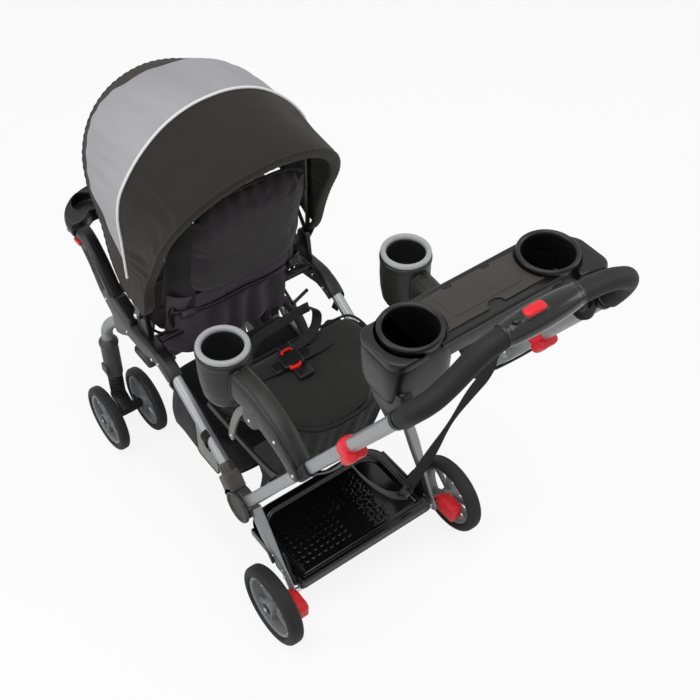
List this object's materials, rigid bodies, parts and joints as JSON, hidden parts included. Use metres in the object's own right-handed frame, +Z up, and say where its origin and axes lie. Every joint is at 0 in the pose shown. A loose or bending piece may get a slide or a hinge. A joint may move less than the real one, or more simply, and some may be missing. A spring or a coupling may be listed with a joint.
{
  "type": "sit and stand stroller",
  "caption": "Sit and stand stroller with a canopied front seat, rear jump seat, standing platform, cup holders, parent tray and swivelling front casters.",
  "frame": {"origin": "on the floor under the middle of the whole", "axes": "+X to the stroller's left, -Y the way it travels, +Z up"},
  "size_m": [0.5496, 1.2596, 1.1219],
  "materials": {
    "silver_tube": "satin silver paint on aluminium tube",
    "bright_steel": "plated steel",
    "black_plastic": "satin moulded black plastic",
    "charcoal_plastic": "satin dark grey moulded plastic",
    "gloss_black": "glossy moulded black plastic",
    "tyre_foam": "moulded foam tyre, matt charcoal",
    "rim_grey": "satin grey moulded plastic",
    "ring_grey": "satin light grey moulded plastic",
    "red_plastic": "bright red moulded plastic",
    "grip_foam": "black foam grip",
    "black_fabric": "woven black polyester over padding",
    "grey_fabric": "woven grey polyester with black panels and white piping",
    "webbing": "woven black webbing"
  },
  "bodies": {
    "frame": {"side_tube_left": "silver_tube", "side_tube_right": "silver_tube", "side_housing_left": "black_plastic", "side_housing_right": "black_plastic", "front_leg_left": "silver_tube", "front_leg_right": "silver_tube", "strut_sleeve_left": "black_plastic", "strut_sleeve_right": "black_plastic", "hub_left": "charcoal_plastic", "hub_right": "charcoal_plastic", "footrest": "black_plastic", "front_seat_base": "black_fabric", "basket": "black_fabric"},
    "handle": {"handle_tube_left": "silver_tube", "handle_tube_right": "silver_tube", "parent_tray": "black_plastic", "handlebar": "grip_foam", "safety_strap": "webbing"},
    "rear_carriage": {"rear_leg_left": "silver_tube", "rear_leg_right": "silver_tube", "platform": "gloss_black", "rear_axle": "bright_steel"},
    "jump_seat": {"rear_seat_frame": "black_plastic", "rear_seat_pad": "black_fabric", "harness_buckle": "black_plastic"},
    "seat_back": {"front_seat_back": "black_fabric"},
    "tray_lid_body": {"tray_lid": "charcoal_plastic"},
    "release_body": {"release_button": "red_plastic"},
    "child_tray_body": {"child_tray": "black_plastic"},
    "tray_button_body": {"tray_button": "red_plastic"},
    "canopy_front": {"canopy_front_bow": "bright_steel", "canopy_cover": "grey_fabric"},
    "canopy_mid": {"canopy_mid_bow": "bright_steel"},
    "canopy_rear": {"canopy_rear_bow": "bright_steel"},
    "cup_arm_left_body": {"cup_arm_left": "charcoal_plastic", "cup_ring_left": "ring_grey"},
    "cup_link_left_body": {"cup_link_left": "rim_grey"},
    "cup_arm_right_body": {"cup_arm_right": "charcoal_plastic", "cup_ring_right": "ring_grey"},
    "cup_link_right_body": {"cup_link_right": "rim_grey"},
    "collar_left_body": {"collar_left": "red_plastic"},
    "collar_right_body": {"collar_right": "red_plastic"},
    "brake_left_body": {"brake_pedal_left": "red_plastic"},
    "rear_wheel_left": {"rear_tyre_left": "tyre_foam", "rear_rim_left": "rim_grey"},
    "brake_right_body": {"brake_pedal_right": "red_plastic"},
    "rear_wheel_right": {"rear_tyre_right": "tyre_foam", "rear_rim_right": "rim_grey"},
    "strut_left": {"strut_boot_left": "black_plastic"},
    "caster_left": {"caster_fork_left": "black_plastic"},
    "front_wheel_left_outer": {"front_tyre_left_outer": "tyre_foam", "front_rim_left_outer": "rim_grey"},
    "front_wheel_left_inner": {"front_tyre_left_inner": "tyre_foam", "front_rim_left_inner": "rim_grey"},
    "strut_right": {"strut_boot_right": "black_plastic"},
    "caster_right": {"caster_fork_right": "black_plastic"},
    "front_wheel_right_outer": {"front_tyre_right_outer": "tyre_foam", "front_rim_right_outer": "rim_grey"},
    "front_wheel_right_inner": {"front_tyre_right_inner": "tyre_foam", "front_rim_right_inner": "rim_grey"}
  },
  "joints": [
    {"name": "frame_fold", "type": "hinge", "parent": "frame", "child": "handle", "pos_m": [0, 0.08915, 0.265], "axis": [1, 0, 0], "range_deg": [0, 40]},
    {"name": "rear_leg_fold", "type": "hinge", "parent": "frame", "child": "rear_carriage", "pos_m": [0, 0.08915, 0.265], "axis": [1, 0, 0], "range_deg": [-20, 0]},
    {"name": "jump_seat_fold", "type": "hinge", "parent": "handle", "child": "jump_seat", "pos_m": [0, 0.19815, 0.4303], "axis": [1, 0, 0], "range_deg": [-40, 0]},
    {"name": "cup_arm_left_fold", "type": "hinge", "parent": "handle", "child": "cup_arm_left_body", "pos_m": [0.204, 0.30714, 0.5956], "axis": [1, 0, 0], "range_deg": [-40, 0]},
    {"name": "cup_link_left_swing", "type": "hinge", "parent": "cup_arm_left_body", "child": "cup_link_left_body", "pos_m": [0.204, 0.17014, 0.6156], "axis": [1, 0, 0], "range_deg": [0, 40]},
    {"name": "cup_arm_right_fold", "type": "hinge", "parent": "handle", "child": "cup_arm_right_body", "pos_m": [-0.204, 0.30714, 0.5956], "axis": [1, 0, 0], "range_deg": [-40, 0]},
    {"name": "cup_link_right_swing", "type": "hinge", "parent": "cup_arm_right_body", "child": "cup_link_right_body", "pos_m": [-0.204, 0.17014, 0.6156], "axis": [1, 0, 0], "range_deg": [0, 40]},
    {"name": "canopy_tilt", "type": "hinge", "parent": "frame", "child": "canopy_front", "pos_m": [0, -0.26585, 0.525], "axis": [1, 0, 0], "range_deg": [-5, 20]},
    {"name": "canopy_mid_close", "type": "hinge", "parent": "canopy_front", "child": "canopy_mid", "pos_m": [0, -0.26585, 0.525], "axis": [1, 0, 0], "range_deg": [0, 20]},
    {"name": "canopy_rear_close", "type": "hinge", "parent": "canopy_front", "child": "canopy_rear", "pos_m": [0, -0.26585, 0.525], "axis": [1, 0, 0], "range_deg": [0, 34], "deforming": ["canopy_cover"]},
    {"name": "seat_recline", "type": "hinge", "parent": "frame", "child": "seat_back", "pos_m": [0, -0.22385, 0.468], "axis": [1, 0, 0], "range_deg": [-35, 0]},
    {"name": "child_tray_swing", "type": "hinge", "parent": "frame", "child": "child_tray_body", "pos_m": [-0.204, -0.53985, 0.575], "axis": [0, 0, 1], "range_deg": [-90, 0]},
    {"name": "tray_button_press", "type": "slide", "parent": "frame", "child": "tray_button_body", "axis": [-1, 0, 0], "range_m": [0, 0.004], "stiffness_N_per_m": 400, "springref_m": -0.002},
    {"name": "tray_lid_open", "type": "hinge", "parent": "handle", "child": "tray_lid_body", "pos_m": [0, 0.44815, 1.052], "axis": [1, 0, 0], "range_deg": [0, 100]},
    {"name": "release_button_press", "type": "slide", "parent": "handle", "child": "release_body", "axis": [0, 0, -1], "range_m": [0, 0.004], "stiffness_N_per_m": 500, "springref_m": -0.003},
    {"name": "collar_left_slide", "type": "slide", "parent": "handle", "child": "collar_left_body", "axis": [0, 0.5505, 0.8348], "range_m": [0, 0.018]},
    {"name": "collar_right_slide", "type": "slide", "parent": "handle", "child": "collar_right_body", "axis": [0, 0.5505, 0.8348], "range_m": [0, 0.018]},
    {"name": "brake_left_press", "type": "hinge", "parent": "rear_carriage", "child": "brake_left_body", "pos_m": [0.205, 0.22815, 0.092], "axis": [1, 0, 0], "range_deg": [-14, 0]},
    {"name": "rear_wheel_left_spin", "type": "hinge", "parent": "rear_carriage", "child": "rear_wheel_left", "pos_m": [0.238, 0.22815, 0.092], "axis": [1, 0, 0], "continuous": true},
    {"name": "brake_right_press", "type": "hinge", "parent": "rear_carriage", "child": "brake_right_body", "pos_m": [-0.205, 0.22815, 0.092], "axis": [1, 0, 0], "range_deg": [-14, 0]},
    {"name": "rear_wheel_right_spin", "type": "hinge", "parent": "rear_carriage", "child": "rear_wheel_right", "pos_m": [-0.238, 0.22815, 0.092], "axis": [1, 0, 0], "continuous": true},
    {"name": "strut_left_spring", "type": "slide", "parent": "frame", "child": "strut_left", "axis": [0, 0, 1], "range_m": [0, 0.01], "stiffness_N_per_m": 6000, "springref_m": -0.01},
    {"name": "caster_left_swivel", "type": "hinge", "parent": "strut_left", "child": "caster_left", "pos_m": [0.208, -0.46385, 0.12], "axis": [0, 0, 1], "continuous": true},
    {"name": "front_wheel_left_outer_spin", "type": "hinge", "parent": "caster_left", "child": "front_wheel_left_outer", "pos_m": [0.2585, -0.42585, 0.082], "axis": [1, 0, 0], "continuous": true},
    {"name": "front_wheel_left_inner_spin", "type": "hinge", "parent": "caster_left", "child": "front_wheel_left_inner", "pos_m": [0.1575, -0.42585, 0.082], "axis": [1, 0, 0], "continuous": true},
    {"name": "strut_right_spring", "type": "slide", "parent": "frame", "child": "strut_right", "axis": [0, 0, 1], "range_m": [0, 0.01], "stiffness_N_per_m": 6000, "springref_m": -0.01},
    {"name": "caster_right_swivel", "type": "hinge", "parent": "strut_right", "child": "caster_right", "pos_m": [-0.208, -0.46385, 0.12], "axis": [0, 0, 1], "continuous": true},
    {"name": "front_wheel_right_outer_spin", "type": "hinge", "parent": "caster_right", "child": "front_wheel_right_outer", "pos_m": [-0.2585, -0.42585, 0.082], "axis": [1, 0, 0], "continuous": true},
    {"name": "front_wheel_right_inner_spin", "type": "hinge", "parent": "caster_right", "child": "front_wheel_right_inner", "pos_m": [-0.1575, -0.42585, 0.082], "axis": [1, 0, 0], "continuous": true}
  ],
  "couplings": [
    {"joint": "rear_leg_fold", "follows": "frame_fold", "ratio": -0.5},
    {"joint": "jump_seat_fold", "follows": "frame_fold", "ratio": -1},
    {"joint": "cup_arm_left_fold", "follows": "frame_fold", "ratio": -1},
    {"joint": "cup_link_left_swing", "follows": "frame_fold", "ratio": 1},
    {"joint": "cup_arm_right_fold", "follows": "frame_fold", "ratio": -1},
    {"joint": "cup_link_right_swing", "follows": "frame_fold", "ratio": 1},
    {"joint": "canopy_mid_close", "follows": "frame_fold", "ratio": 0.5},
    {"joint": "canopy_rear_close", "follows": "frame_fold", "ratio": 0.85}
  ]
}
